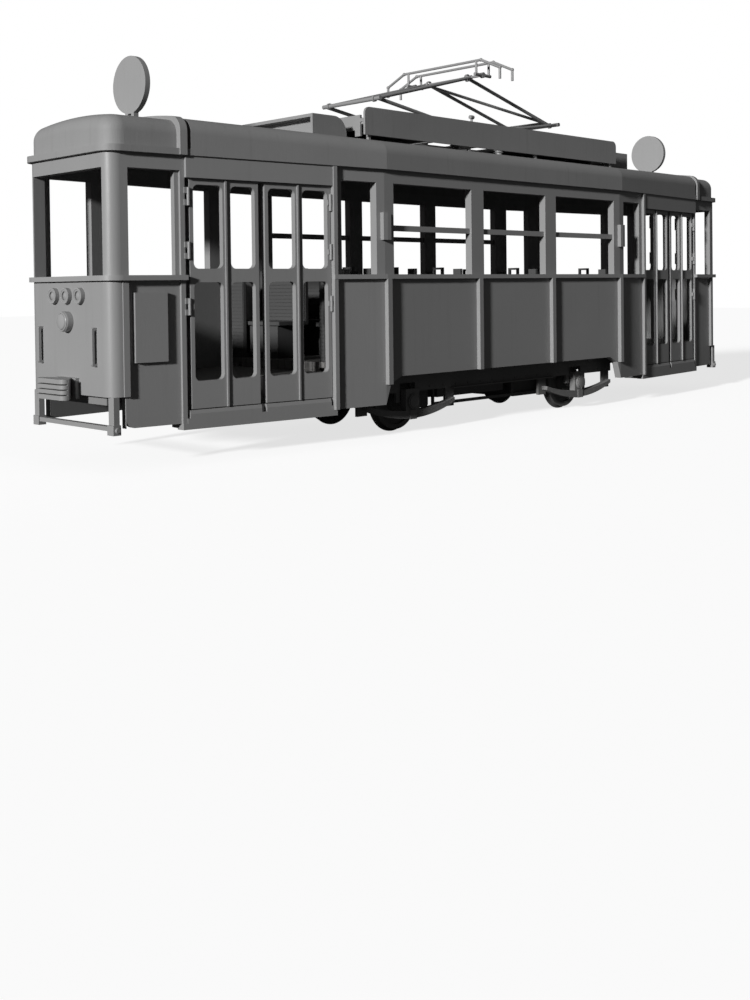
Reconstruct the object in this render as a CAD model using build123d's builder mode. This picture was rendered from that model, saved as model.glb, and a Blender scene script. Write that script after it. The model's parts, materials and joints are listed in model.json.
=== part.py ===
from build123d import *
from math import atan2, cos, degrees, radians, sin, tan
import os

# Electric tramcar on two axles, with tapered ends and folding doors on one side.
# X runs along the car, Y across it, Z up. The front is at -X and the doors are at -Y.
# The origin lies under the middle of the car, level with the lowest point of the wheels.

# Car body, outer sizes in millimetres
body_half_width = 1050
straight_half_length = 2261
end_x = 5460
end_half_width = 712
corner_radius = 130
wall = 90
body_bottom = 385
panel_bottom = 677
wall_top = 2895
belt_bottom = 1731
belt_top = 1778
belt_depth = 45
rib_depth = 50
rib_width = 65
middle_rib_x = 710
outer_rib_x = 2235
post_box_x = 2266
post_box_width = 108
post_box_bottom = 2145
post_box_top = 2436
window_sill = 1778
window_head = 2754

# Places along the car
saloon_half_length = 2860
pillar_inset = 20
pillar_rear_x = saloon_half_length - pillar_inset
panel_front_x = 5298
panel_recess = 25
skirt_corner = 90
strip_front_x = 5331
strip_rear_x = 5272
strip_proud = 12
pillar_front_x = 4728
doorway_front_x = 4680
doorway_rear_x = 2968
post_rear_x = 2922
post_proud = 40
blind_rib_x = 2880
arch_half_length = 2264
arch_shoulder_x = 2190
arch_shoulder_z = 602
arch_top_x = 2020

# Windows
main_window_x = 1472
main_window_width = 1300
middle_window_width = 1202
narrow_window_x = 2606
narrow_window_width = 467
platform_window_front_x = 5264
platform_window_rear_x = 4775
blind_window_front_x = 4600
blind_window_rear_x = 3140
windscreen_width = 1220
transom_bottom = 2246
transom_top = 2307
transom_depth = 40

# Roof
roof_overhang = 45
crown_z = 3302
roof_arch_radius = 5130
eaves_radius = 150
inner_eaves_radius = 90
roof_corner_radius = 190
inner_corner_radius = 110
roof_thickness = 45
dome_x = 4682
dome_band_x = 4756
dome_drop = 24
slot_rear_x = 4634
band_rise = 14
lip_top = 2955
lip_corner_radius = 175

# Floors and underframe
platform_floor_bottom = 700
platform_floor_top = 760
saloon_floor_bottom = 800
saloon_floor_top = 860
step_well_depth = 300
step_bottom = 325
step_tread_top = 470
step_thickness = 40
sill_proud = 5
sill_face = 8
sill_top = 505
sill_depth = 80
sill_slot_width = 58
sill_slot_height = 75
sill_slot_depth = 40

# Doors
leaf_thickness = 60
leaf_recess = 8
leaf_bottom = 515
leaf_top = 2682
header_bottom = 2690
light_radius = 55
upper_light_bottom = 1838
upper_light_top = 2632
lower_light_bottom = 775
lower_light_top = 1709
light_margin = 40
hinge_gap = 10
leaf_joints_x = (4626, 4220, 3858, 3782, 3375, 2976)
knuckle_radius = 16
knuckle_stand = 17
knuckle_gap = 0.3
hinge_pin_radius = 7
knuckle_block = 30
knuckle_web = 24
knuckle_shift = 10
pillar_block = 44
hinge_rows_z = ((1400, 1560), (1930, 2090), (2430, 2600))
front_hinge_reach = 20
rear_hinge_reach = 10

# Running gear
axle_x = 1619
axle_z = 360
flange_radius = 360
tread_radius = 333
axle_radius = 62
wheel_back_y = 477
flange_width = 32
tread_width = 98
hub_radius = 130
rim_thickness = 55
web_thickness = 34
truck_y = 721
truck_plate = 34
truck_bottom = 460
truck_top = 662
truck_setback = 440
truck_end_x = saloon_half_length - truck_setback
spring_y = 795
spring_width = 80

sole_bar_width = 90
cross_beam_x = 760
bolster_setback = 350
bolster_x = saloon_half_length - bolster_setback
bearer_bottom = 590
bearer_y = 300
headstock_width = 120
headstock_half_length = 500
riser_half_width = 640
horn_gap = 250
horn_width = 60
horn_drop = 110
horn_top = 560
spring_half_length = 720
hanger_bottom = 262
hanger_width = 150
spring_bottom = 168
spring_pack = 88
spring_eye = 46
axlebox_width = 220
axlebox_top = 500
axlebox_cap_radius = 86
axlebox_cap_depth = 26
journal_share = 0.8
journal_length = 64
bearing_gap = 0.3
hub_reach = 36
wheel_coning = 4
spring_end_gap = 8

# Fittings
marker_y = 229
marker_z = 1596
marker_radius = 76
marker_depth = 40
lens_share = 0.55
handle_y = 480
handle_bottom = 952
handle_top = 1305
handle_depth = 50
handle_width = 34
handle_round = 22
side_box_depth = 40
side_box_front_x = 5215
side_box_rear_x = 4883
side_box_bottom = 979
side_box_top = 1620
bead_width = 18
bead_depth = 18

headlamp_z = 1356
headlamp_radius = 96
headlamp_depth = 70
lifeguard_y = 666
lifeguard_width = 86
lifeguard_depth = 60
lifeguard_x = 5400
lifeguard_bottom = 336
guard_bar = 42
guard_bar_z = 390
coupler_x = 5680
coupler_shoulder_x = 5610
coupler_root_x = 5500
coupler_half_width = 245
coupler_neck_half_width = 100
coupler_plate_half_width = 180
coupler_bottom = 640
coupler_top = 832
coupler_slot = 12
coupler_slot_depth = 60
coupler_corner = 55
coupler_pin_radius = 16
disc_x = 4720
disc_thickness = 56
disc_z = 3650
disc_radius = 282
disc_leg_width = 46
disc_leg_y = 52
hood_outer_x = 2980
hood_inner_x = 2490
hood_half_width = 720
hood_top = 3465
hood_curve_radius = 180
hood_recess = 120
hood_lip = 34
board_y = 900
board_half_length = 2400
board_thickness = 26
board_bottom = 3272
board_top = 3570
board_corner = 70
end_board_x = 2330
end_board_half_width = 780
end_board_top = 3500
end_hole_y = 625
end_hole_width = 150
end_hole_top = 3340
strap_bottom = 3425
strap_height = 35
stanchion_x = (2306, 642, -642, -2306)
stanchion_width = 34
deck_bottom = 3400
deck_thickness = 20
deck_post_x = 1500
motor_half_width = 330
motor_bottom = 200
motor_top = 590
motor_gap = 40
brake_rod_bottom = 215
brake_rod_y = 365
brake_rod_width = 30
brake_rod_height = 36
brake_rod_end_x = 1500

# Seats: single on the door side, double on the other side
seat_row_shares = (-0.822, -0.577, -0.306, 0.197, 0.735)
single_seat_y = -720
single_seat_width = 430
double_seat_y = 500
double_seat_width = 800
seat_wall_gap = 12
partition_setback = 40
seat_depth = 420
seat_thickness = 40
seat_top = 1230
seat_back_top = 1725
seat_back_thickness = 36
seat_rail_width = 90
seat_box_share = 0.82
grab_loop_height = 140
grab_loop_width = 150
grab_bar = 24
head_block_width = 110
head_block_height = 120
partition_top = 1760
partition_width = 250

# Pantograph
base_pivot_x = 90
base_pivot_z = 3550
knee_x = 1710
knee_z = 3790
apex_z = 4232
lower_arm_y = 430
front_arm_y = 375
rear_arm_y = 320
knee_half_width = 476
tube_radius = 24
base_tube_radius = 27
apex_radius = 16
stub_radius = 14
bracket_radius = 20
head_post_radius = 15
horn_radius = 22
collar_radius = 34
collar_width = 40
eye_radius = 36
eye_width = 30
eye_gap = 0.3
open_eye_gap = 19
base_half_length = 450
base_half_width = 500
base_bar = 60
base_bottom = 3420
insulator_radius = 45
bearing_plate = 20
bearing_half_length = 150
latch_x = 200
latch_y = 550
latch_z = 3700
bow_x = 120
bow_flat_half_width = 640
bow_end_half_width = 930
bow_z = 4395
bow_end_z = 4262
bow_tip_z = 4128
bow_radius = 16
head_post_y = 565
arm_share = 0.9
brace_share = 0.8
brace_low_share = 0.06
brace_high_share = 0.94
eye_wall = 10

taper_angle = degrees(atan2(body_half_width - end_half_width, end_x - straight_half_length))
taper_tan = tan(radians(taper_angle))
taper_cos = cos(radians(taper_angle))

os.makedirs("parts", exist_ok=True)


def wall_y(x, inset):
    """Distance of the wall from the centre line, a given depth inside its outer face."""
    break_x = straight_half_length - inset * tan(radians(taper_angle / 2))
    width = body_half_width - inset
    if abs(x) > break_x:
        width = width - (abs(x) - break_x) * taper_tan
    return width


def wall_run(x_from, x_to, outer, inner):
    """Plan outline of a stretch of the door side's wall between two depths."""
    points = []
    for inset in (outer, inner):
        break_x = straight_half_length - inset * tan(radians(taper_angle / 2))
        stops = [x for x in (-break_x, break_x) if x_from < x < x_to]
        run = [(x, -wall_y(x, inset)) for x in [x_from] + stops + [x_to]]
        points = points + (run if inset == outer else run[::-1])
    return points


def body_plan(inset):
    """Plan outline of the whole car, a given depth inside its outer face."""
    e = end_x - inset
    s = straight_half_length - inset * tan(radians(taper_angle / 2))
    w = body_half_width - inset
    n = wall_y(e, inset)
    return [(-e, -n), (-s, -w), (s, -w), (e, -n), (e, n), (s, w), (-s, w), (-e, n)]


def rounded_plan(inset, corner, z_from, z_to):
    """The car's plan with rounded end corners, raised between two heights."""
    with BuildPart() as prism:
        with BuildSketch(Plane.XY.offset(z_from)):
            Polygon(*body_plan(inset), align=None)
            ends = [v for v in vertices() if abs(v.X) > pillar_front_x]
            fillet(ends, corner)
        extrude(amount=z_to - z_from)
    return prism.part


def roof_form(inset, top_z, edge_radius, corner):
    """A closed roof body with an arched top and rounded eaves."""
    with BuildPart() as form:
        add(rounded_plan(inset, corner, wall_top, top_z + wall))
        with BuildSketch(Plane.YZ):
            with Locations((0, top_z - roof_arch_radius)):
                Circle(roof_arch_radius)
        extrude(amount=end_x + wall, both=True, mode=Mode.INTERSECT)
        top = faces().filter_by(GeomType.CYLINDER).sort_by(Axis.Z)[-1]
        fillet(top.edges(), edge_radius)
    return form.part


def taper_u(x):
    """Distance along the tapered wall from its start, for a place along the car."""
    return (x + straight_half_length) / taper_cos


front_taper = Plane(
    origin=(-straight_half_length, -body_half_width, 0),
    x_dir=(taper_cos, -sin(radians(taper_angle)), 0),
    z_dir=(-sin(radians(taper_angle)), -taper_cos, 0),
)
door_side = Plane(origin=(0, -body_half_width, 0), x_dir=(1, 0, 0), z_dir=(0, -1, 0))
window_middle_z = (window_sill + window_head) / 2
saloon_windows = ((0, middle_window_width), (main_window_x, main_window_width),
                  (narrow_window_x, narrow_window_width))
window_height = window_head - window_sill


def knuckles(axis_u, axis_out, toward, length, shift, carries_pin):
    """Hinge barrels with their webs at every hinge of a door; one of the two pieces carries the pins."""
    with BuildPart() as barrels:
        for z_low, z_high in hinge_rows_z:
            third = (z_high - z_low) / 3
            spans = [(z_low + third + knuckle_gap, z_high - third - knuckle_gap)]
            if carries_pin:
                spans = [(z_low, z_low + third), (z_high - third, z_high)]
            for z_from, z_to in spans:
                foot = front_taper.from_local_coords((axis_u, z_from, axis_out))
                with BuildSketch(Plane(origin=foot, x_dir=front_taper.x_dir, z_dir=(0, 0, 1))):
                    Circle(knuckle_radius)
                    with Locations((toward * length / 2, -shift)):
                        Rectangle(length, knuckle_web)
                extrude(amount=z_to - z_from)
            foot = front_taper.from_local_coords((axis_u, z_low, axis_out))
            with BuildSketch(Plane(origin=foot, x_dir=front_taper.x_dir, z_dir=(0, 0, 1))):
                Circle(hinge_pin_radius + (0 if carries_pin else knuckle_gap))
            extrude(amount=z_high - z_low, mode=Mode.ADD if carries_pin else Mode.SUBTRACT)
    return barrels.part


front_hinge_u = taper_u(-leaf_joints_x[0]) - front_hinge_reach
rear_hinge_u = taper_u(-leaf_joints_x[5]) - rear_hinge_reach
outer_hinge_out = knuckle_stand - leaf_recess
inner_hinge_out = -leaf_recess - leaf_thickness - knuckle_stand

# Roof
outer_main = roof_form(-roof_overhang, crown_z, eaves_radius, roof_corner_radius)
inner_roof = roof_form(wall, crown_z - roof_thickness, inner_eaves_radius, inner_corner_radius)
with BuildPart() as main_roof:
    add(outer_main)
    add(inner_roof, mode=Mode.SUBTRACT)
    with BuildSketch(Plane.XY.offset(wall_top)):
        Rectangle(2 * slot_rear_x, 4 * body_half_width)
    extrude(amount=crown_z, mode=Mode.INTERSECT)
main_roof.part.label = "main_roof"
export_step(main_roof.part, "parts/main_roof.step")

outer_dome = roof_form(0, crown_z - dome_drop, eaves_radius, roof_corner_radius)
outer_band = roof_form(-roof_overhang - band_rise, crown_z + band_rise, eaves_radius, roof_corner_radius)
with BuildPart() as dome_front:
    add(outer_dome)
    add(rounded_plan(-roof_overhang, lip_corner_radius, wall_top, lip_top))
    with BuildSketch(Plane.XY.offset(wall_top)):
        with Locations((-slot_rear_x, 0)):
            Rectangle(2 * end_x, 4 * body_half_width, align=(Align.MAX, Align.CENTER))
    extrude(amount=crown_z, mode=Mode.INTERSECT)
with BuildPart() as band:
    add(outer_band)
    with BuildSketch(Plane.XY.offset(wall_top)):
        with Locations((-dome_x, 0)):
            Rectangle(dome_band_x - dome_x, 4 * body_half_width, align=(Align.MAX, Align.CENTER))
    extrude(amount=crown_z, mode=Mode.INTERSECT)
with BuildPart() as end_dome:
    add(dome_front.part)
    add(band.part)
    add(inner_roof, mode=Mode.SUBTRACT)
end_dome.part.label = "roof_dome_front"
export_step(end_dome.part, "parts/roof_dome_front.step")
with BuildPart() as roof_dome_rear:
    mirror(end_dome.part, about=Plane.YZ)
roof_dome_rear.part.label = "roof_dome_rear"
export_step(roof_dome_rear.part, "parts/roof_dome_rear.step")

# Wall on the door side, between the doorways, with its ribs and post boxes
with BuildPart() as door_side_whole:
    with BuildSketch(Plane.XY.offset(body_bottom)):
        Polygon(*wall_run(-pillar_rear_x, pillar_rear_x, 0, wall), align=None)
    extrude(amount=wall_top - body_bottom)
    raised = ((middle_rib_x, rib_width, panel_bottom, belt_bottom),
              (outer_rib_x, rib_width, arch_shoulder_z, belt_bottom),
              (post_box_x, post_box_width, post_box_bottom, post_box_top))
    for side in (-1, 1):
        for x, width, z_low, z_high in raised:
            with BuildSketch(Plane.XY.offset(z_low)):
                Polygon(*wall_run(side * x - width / 2, side * x + width / 2, -rib_depth, 0), align=None)
            extrude(amount=z_high - z_low)
    with BuildSketch(door_side):
        for x, width in saloon_windows:
            with Locations((-x, window_middle_z), (x, window_middle_z)):
                Rectangle(width, window_height)
        with BuildLine():
            Polyline(
                (-arch_half_length, 0), (-arch_half_length, body_bottom), (-arch_shoulder_x, arch_shoulder_z),
                (-arch_top_x, panel_bottom), (arch_top_x, panel_bottom), (arch_shoulder_x, arch_shoulder_z),
                (arch_half_length, body_bottom), (arch_half_length, 0), close=True,
            )
        make_face()
    extrude(amount=2 * wall, both=True, mode=Mode.SUBTRACT)

# Middle of the wall on the other side
with BuildPart() as blind_half:
    with BuildSketch(Plane.XY.offset(body_bottom)):
        Polygon(*wall_run(-pillar_rear_x, 0, 0, wall), align=None)
    extrude(amount=wall_top - body_bottom)
    for x, z_low in ((middle_rib_x, panel_bottom), (outer_rib_x, arch_shoulder_z)):
        with BuildSketch(Plane.XY.offset(z_low)):
            Polygon(*wall_run(-x - rib_width / 2, -x + rib_width / 2, -rib_depth, 0), align=None)
        extrude(amount=belt_bottom - z_low)
    with BuildSketch(door_side):
        for x, width in saloon_windows:
            with Locations((-x, window_middle_z)):
                Rectangle(width, window_height)
        with BuildLine():
            Polyline(
                (-arch_half_length, 0), (-arch_half_length, body_bottom), (-arch_shoulder_x, arch_shoulder_z),
                (-arch_top_x, panel_bottom), (0, panel_bottom), (0, 0), close=True,
            )
        make_face()
    extrude(amount=2 * wall, both=True, mode=Mode.SUBTRACT)
with BuildPart() as blind_side_whole:
    mirror(blind_half.part, about=Plane.XZ)
    mirror(blind_side_whole.part, about=Plane.YZ)

# Both walls in their courses: the panel up to the sills, the window posts and the cant rail
wall_courses = (("wall", body_bottom, window_sill), ("posts", window_sill, window_head),
                ("cantrail", window_head, wall_top))
for side, whole in (("door_side", door_side_whole), ("blind_side", blind_side_whole)):
    for course, z_low, z_high in wall_courses:
        with BuildPart() as wall_course:
            add(whole.part)
            with BuildSketch(Plane.XY.offset(z_low)):
                Rectangle(2 * saloon_half_length, 2 * (body_half_width + rib_depth))
            extrude(amount=z_high - z_low, mode=Mode.INTERSECT)
        name = side + "_" + course
        wall_course.part.label = name
        export_step(wall_course.part, "parts/" + name + ".step")

# Transom bars between the posts of the wide windows
with BuildPart() as door_side_transoms:
    for x, width in saloon_windows[:2]:
        with BuildSketch(door_side.offset(-wall / 2)):
            with Locations((-x, (transom_bottom + transom_top) / 2), (x, (transom_bottom + transom_top) / 2)):
                Rectangle(width, transom_top - transom_bottom)
        extrude(amount=transom_depth / 2, both=True)
door_side_transoms.part.label = "door_side_transoms"
export_step(door_side_transoms.part, "parts/door_side_transoms.step")
with BuildPart() as blind_side_transoms:
    mirror(door_side_transoms.part, about=Plane.XZ)
blind_side_transoms.part.label = "blind_side_transoms"
export_step(blind_side_transoms.part, "parts/blind_side_transoms.step")

# Platform walls on that side, closed where the other side has its doors
with BuildPart() as blind_platform:
    with BuildSketch(Plane.XY.offset(body_bottom)):
        Polygon(*wall_run(-panel_front_x, -pillar_rear_x, 0, wall), align=None)
    extrude(amount=wall_top - body_bottom)
    for x in (blind_rib_x, pillar_front_x):
        with BuildSketch(Plane.XY.offset(body_bottom)):
            Polygon(*wall_run(-x - rib_width / 2, -x + rib_width / 2, -rib_depth, 0), align=None)
        extrude(amount=belt_bottom - body_bottom)
    with BuildSketch(Plane.XY.offset(window_sill)):
        Polygon(*wall_run(-panel_front_x, -platform_window_front_x, -wall, 2 * wall), align=None)
    extrude(amount=wall_top - window_sill, mode=Mode.SUBTRACT)
    cuts = ((panel_front_x, platform_window_rear_x, window_sill, window_head),
            (blind_window_front_x, blind_window_rear_x, window_sill, window_head))
    with BuildSketch(front_taper):
        for x_front, x_rear, z_low, z_high in cuts:
            with Locations(((taper_u(-x_front) + taper_u(-x_rear)) / 2, (z_low + z_high) / 2)):
                Rectangle(taper_u(-x_rear) - taper_u(-x_front), z_high - z_low)
    extrude(amount=2 * wall, both=True, mode=Mode.SUBTRACT)
with BuildPart() as blind_panel_front:
    mirror(blind_platform.part, about=Plane.XZ)
blind_panel_front.part.label = "blind_panel_front"
export_step(blind_panel_front.part, "parts/blind_panel_front.step")
with BuildPart() as blind_panel_rear:
    mirror(blind_panel_front.part, about=Plane.YZ)
blind_panel_rear.part.label = "blind_panel_rear"
export_step(blind_panel_rear.part, "parts/blind_panel_rear.step")

# End of the body, wrapped round both corners, with lamp rims and grab handles
with BuildPart() as end_wall_front:
    add(rounded_plan(0, corner_radius, panel_bottom, wall_top))
    add(rounded_plan(wall, inner_corner_radius, 0, crown_z), mode=Mode.SUBTRACT)
    with BuildSketch(Plane.XZ):
        Polygon(
            (-2 * end_x, 0), (-panel_front_x, 0), (-panel_front_x, belt_top),
            (-platform_window_front_x, belt_top), (-platform_window_front_x, crown_z),
            (-2 * end_x, crown_z), align=None,
        )
    extrude(amount=2 * body_half_width, both=True, mode=Mode.INTERSECT)
    for side in (-1, 1):
        with BuildSketch(Plane.XY.offset(panel_bottom)):
            strip = wall_run(-strip_front_x, -strip_rear_x, -strip_proud, panel_recess if side < 0 else 0)
            Polygon(*[(x, -side * y) for x, y in strip], align=None)
        extrude(amount=belt_bottom - panel_bottom)
    with BuildSketch(Plane.YZ.offset(-end_x)):
        with Locations((0, (window_sill + window_head) / 2)):
            Rectangle(windscreen_width, window_head - window_sill)
    extrude(amount=2 * wall, both=True, mode=Mode.SUBTRACT)
    with BuildSketch(Plane.YZ.offset(-end_x)):
        with Locations((-marker_y, marker_z), (0, marker_z), (marker_y, marker_z)):
            Circle(marker_radius)
            Circle(marker_radius * lens_share, mode=Mode.SUBTRACT)
    extrude(amount=-marker_depth)
    with BuildSketch(Plane.YZ.offset(-end_x)):
        with Locations((-marker_y, marker_z), (0, marker_z), (marker_y, marker_z)):
            Circle(marker_radius * lens_share)
    extrude(amount=-marker_depth * lens_share)
    for side in (-1, 1):
        with BuildSketch(Plane.XZ.offset(-side * handle_y)):
            with Locations((-end_x, (handle_bottom + handle_top) / 2)):
                Rectangle(2 * handle_depth, handle_top - handle_bottom)
                fillet(vertices().group_by(Axis.X)[0], handle_round)
                grip_height = handle_top - handle_bottom - handle_depth
                Rectangle(2 * handle_depth * lens_share, grip_height, mode=Mode.SUBTRACT)
            with Locations((-end_x, (handle_bottom + handle_top) / 2)):
                Rectangle(end_x, 2 * handle_top, align=(Align.MIN, Align.CENTER), mode=Mode.SUBTRACT)
        extrude(amount=handle_width / 2, both=True)
end_wall_front.part.label = "end_wall_front"
export_step(end_wall_front.part, "parts/end_wall_front.step")
with BuildPart() as end_wall_rear:
    mirror(end_wall_front.part, about=Plane.YZ)
end_wall_rear.part.label = "end_wall_rear"
export_step(end_wall_rear.part, "parts/end_wall_rear.step")

# Platform side, doorway pillars, header and entry step on the door side
sill_section = Plane(
    origin=front_taper.from_local_coords((taper_u(-doorway_rear_x), 0, 0)),
    x_dir=front_taper.z_dir,
    z_dir=-front_taper.x_dir,
)
doorway_length = taper_u(-doorway_rear_x) - taper_u(-doorway_front_x)
with BuildPart() as doorway:
    with BuildSketch(Plane.XY.offset(body_bottom)):
        Polygon(*wall_run(-panel_front_x, -pillar_rear_x, 0, wall), align=None)
    extrude(amount=wall_top - body_bottom)
    with BuildSketch(Plane.XY.offset(body_bottom)):
        Polygon(*wall_run(-panel_front_x, -pillar_front_x, -wall, panel_recess), align=None)
    extrude(amount=window_head - body_bottom, mode=Mode.SUBTRACT)
    with BuildSketch(Plane.XY.offset(window_sill)):
        Polygon(*wall_run(-panel_front_x, -platform_window_front_x, -wall, 2 * wall), align=None)
    extrude(amount=wall_top - window_sill, mode=Mode.SUBTRACT)
    cuts = ((panel_front_x, platform_window_rear_x, window_sill, window_head),
            (doorway_front_x, doorway_rear_x, 0, header_bottom))
    with BuildSketch(front_taper):
        for x_front, x_rear, z_low, z_high in cuts:
            with Locations(((taper_u(-x_front) + taper_u(-x_rear)) / 2, (z_low + z_high) / 2)):
                Rectangle(taper_u(-x_rear) - taper_u(-x_front), z_high - z_low)
        with Locations((taper_u(-panel_front_x), body_bottom)):
            Rectangle(skirt_corner, skirt_corner, align=(Align.MIN, Align.MIN))
        with Locations((taper_u(-panel_front_x) + skirt_corner, body_bottom + skirt_corner)):
            Circle(skirt_corner, mode=Mode.SUBTRACT)
    extrude(amount=2 * wall, both=True, mode=Mode.SUBTRACT)
    for z_low, z_high in ((body_bottom, belt_bottom), (belt_top, wall_top)):
        with BuildSketch(Plane.XY.offset(z_low)):
            Polygon(*wall_run(-doorway_rear_x, -post_rear_x, -post_proud, 0), align=None)
        extrude(amount=z_high - z_low)
    with BuildSketch(Plane.XY.offset(step_bottom)):
        Polygon(*wall_run(-pillar_front_x, -post_rear_x, -sill_proud, wall), align=None)
    extrude(amount=body_bottom - step_bottom)
    with BuildSketch(sill_section):
        Polygon(
            (-step_well_depth, step_bottom), (sill_proud, step_bottom), (sill_proud, step_tread_top),
            (-sill_face, sill_top), (-sill_depth, sill_top), (-sill_depth, step_tread_top),
            (-step_well_depth, step_tread_top), align=None,
        )
    extrude(amount=doorway_length)
    slot_x = (doorway_front_x, (leaf_joints_x[2] + leaf_joints_x[3]) / 2, doorway_rear_x)
    with BuildSketch(front_taper.offset(sill_proud)):
        with Locations(*[(taper_u(-x), sill_top) for x in slot_x]):
            Rectangle(sill_slot_width, sill_slot_height, align=(Align.CENTER, Align.MAX))
        for slot_end in (taper_u(-doorway_front_x), taper_u(-doorway_rear_x) + sill_slot_width):
            with Locations((slot_end, sill_top)):
                Rectangle(sill_slot_width, sill_slot_height, align=(Align.MAX, Align.MAX), mode=Mode.SUBTRACT)
    extrude(amount=-sill_slot_depth, mode=Mode.SUBTRACT)
    with BuildSketch(Plane.XY.offset(step_tread_top)):
        Polygon(
            *wall_run(-doorway_front_x, -doorway_rear_x, step_well_depth - step_thickness, step_well_depth),
            align=None,
        )
    extrude(amount=platform_floor_top - step_tread_top)
    add(knuckles(front_hinge_u, outer_hinge_out, -1, pillar_block, -knuckle_shift, True))
    add(knuckles(rear_hinge_u, outer_hinge_out, 1, knuckle_block, 0, True))
with BuildPart() as doorway_front:
    add(doorway.part)
    with BuildSketch(Plane.XY.offset(side_box_bottom)):
        Polygon(
            *wall_run(-side_box_front_x, -side_box_rear_x, panel_recess - side_box_depth, panel_recess),
            align=None,
        )
    extrude(amount=side_box_top - side_box_bottom)
doorway_front.part.label = "doorway_front"
export_step(doorway_front.part, "parts/doorway_front.step")
with BuildPart() as doorway_rear:
    mirror(doorway.part, about=Plane.YZ)
doorway_rear.part.label = "doorway_rear"
export_step(doorway_rear.part, "parts/doorway_rear.step")

# Door leaves: the outer pair of leaves hinges on the pillars, the inner pair on the outer one
leaf_edges = ((leaf_joints_x[0], leaf_joints_x[1]), (leaf_joints_x[1], leaf_joints_x[2]),
              (leaf_joints_x[3], leaf_joints_x[4]), (leaf_joints_x[4], leaf_joints_x[5]))
front_fold_u = taper_u(-leaf_joints_x[1])
rear_fold_u = taper_u(-leaf_joints_x[4])
leaf_knuckles = (
    ((front_hinge_u, outer_hinge_out, 1, knuckle_block + front_hinge_reach, -knuckle_shift, False),
     (front_fold_u, inner_hinge_out, -1, knuckle_block, knuckle_shift, True)),
    ((front_fold_u, inner_hinge_out, 1, knuckle_block, knuckle_shift, False),),
    ((rear_fold_u, inner_hinge_out, -1, knuckle_block, knuckle_shift, False),),
    ((rear_fold_u, inner_hinge_out, 1, knuckle_block, knuckle_shift, True),
     (rear_hinge_u, outer_hinge_out, -1, knuckle_block, -knuckle_shift, False)),
)
for number, (x_front, x_rear) in enumerate(leaf_edges, start=1):
    u_from = taper_u(-x_front) + (hinge_gap / 2 if number in (2, 4) else 0)
    u_to = taper_u(-x_rear) - (hinge_gap / 2 if number in (1, 3) else 0)
    lights = ((lower_light_bottom, lower_light_top), (upper_light_bottom, upper_light_top))
    with BuildPart() as leaf:
        with BuildSketch(front_taper.offset(-leaf_recess)):
            with Locations(((u_from + u_to) / 2, (leaf_bottom + leaf_top) / 2)):
                Rectangle(u_to - u_from, leaf_top - leaf_bottom)
            for z_low, z_high in lights:
                with Locations(((u_from + u_to) / 2, (z_low + z_high) / 2)):
                    RectangleRounded(
                        u_to - u_from - 2 * light_margin, z_high - z_low, light_radius, mode=Mode.SUBTRACT,
                    )
        extrude(amount=-leaf_thickness)
        if number in (1, 3):
            with BuildSketch(front_taper.offset(-leaf_recess)):
                with Locations((u_to, (leaf_bottom + leaf_top) / 2)):
                    Rectangle(bead_width, leaf_top - leaf_bottom, align=(Align.MAX, Align.CENTER))
            extrude(amount=bead_depth)
        for hinge in leaf_knuckles[number - 1]:
            add(knuckles(*hinge))
    leaf.part.label = "door_leaf_front_%d" % number
    export_step(leaf.part, "parts/door_leaf_front_%d.step" % number)
    with BuildPart() as rear_leaf:
        mirror(leaf.part, about=Plane.YZ)
    rear_leaf.part.label = "door_leaf_rear_%d" % number
    export_step(rear_leaf.part, "parts/door_leaf_rear_%d.step" % number)

# Belt rails
with BuildPart() as belt_ring:
    add(rounded_plan(-belt_depth, corner_radius + belt_depth, belt_bottom, belt_top))
    add(rounded_plan(0, corner_radius, belt_bottom, belt_top), mode=Mode.SUBTRACT)
with BuildPart() as belt_rail_door_side:
    add(belt_ring.part)
    with BuildSketch(Plane.XY):
        with Locations((0, -end_x)):
            Rectangle(2 * doorway_rear_x, end_x, align=(Align.CENTER, Align.MIN))
    extrude(amount=crown_z, mode=Mode.INTERSECT)
    add([doorway_front.part, doorway_rear.part], mode=Mode.SUBTRACT)
belt_rail_door_side.part.label = "belt_rail_door_side"
export_step(belt_rail_door_side.part, "parts/belt_rail_door_side.step")
with BuildPart() as belt_rail_ends:
    add(belt_ring.part)
    with BuildSketch(Plane.XY):
        with Locations((0, -end_x)):
            Rectangle(2 * doorway_front_x, end_x, align=(Align.CENTER, Align.MIN))
    extrude(amount=crown_z, mode=Mode.SUBTRACT)
    add([doorway_front.part, doorway_rear.part], mode=Mode.SUBTRACT)
belt_rail_ends.part.label = "belt_rail_ends"
export_step(belt_rail_ends.part, "parts/belt_rail_ends.step")

# Floor, lower on the platforms, and open over the entry steps
with BuildPart() as floor:
    add(rounded_plan(wall, inner_corner_radius, platform_floor_bottom, platform_floor_top))
    with BuildSketch(Plane.XY.offset(platform_floor_bottom)):
        Rectangle(2 * saloon_half_length, 4 * body_half_width)
    extrude(amount=crown_z, mode=Mode.SUBTRACT)
    for side in (-1, 1):
        with BuildSketch(Plane.XY.offset(platform_floor_bottom)):
            well = wall_run(-pillar_front_x, -saloon_half_length, 0, step_well_depth)
            Polygon(*[(-side * x, y) for x, y in well], align=None)
        extrude(amount=crown_z, mode=Mode.SUBTRACT)
    with BuildSketch(Plane.XY.offset(saloon_floor_bottom)):
        half_floor = wall_run(-saloon_half_length, saloon_half_length, wall, wall_y(0, 0))
        Polygon(*half_floor, align=None)
        Polygon(*[(x, -y) for x, y in half_floor], align=None)
    extrude(amount=saloon_floor_top - saloon_floor_bottom)
    for side in (-1, 1):
        with BuildSketch(Plane.XY.offset(platform_floor_bottom)):
            with Locations((side * saloon_half_length, 0)):
                Rectangle(step_thickness, 2 * riser_half_width)
        extrude(amount=saloon_floor_top - platform_floor_bottom)
floor.part.label = "floor"
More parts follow.
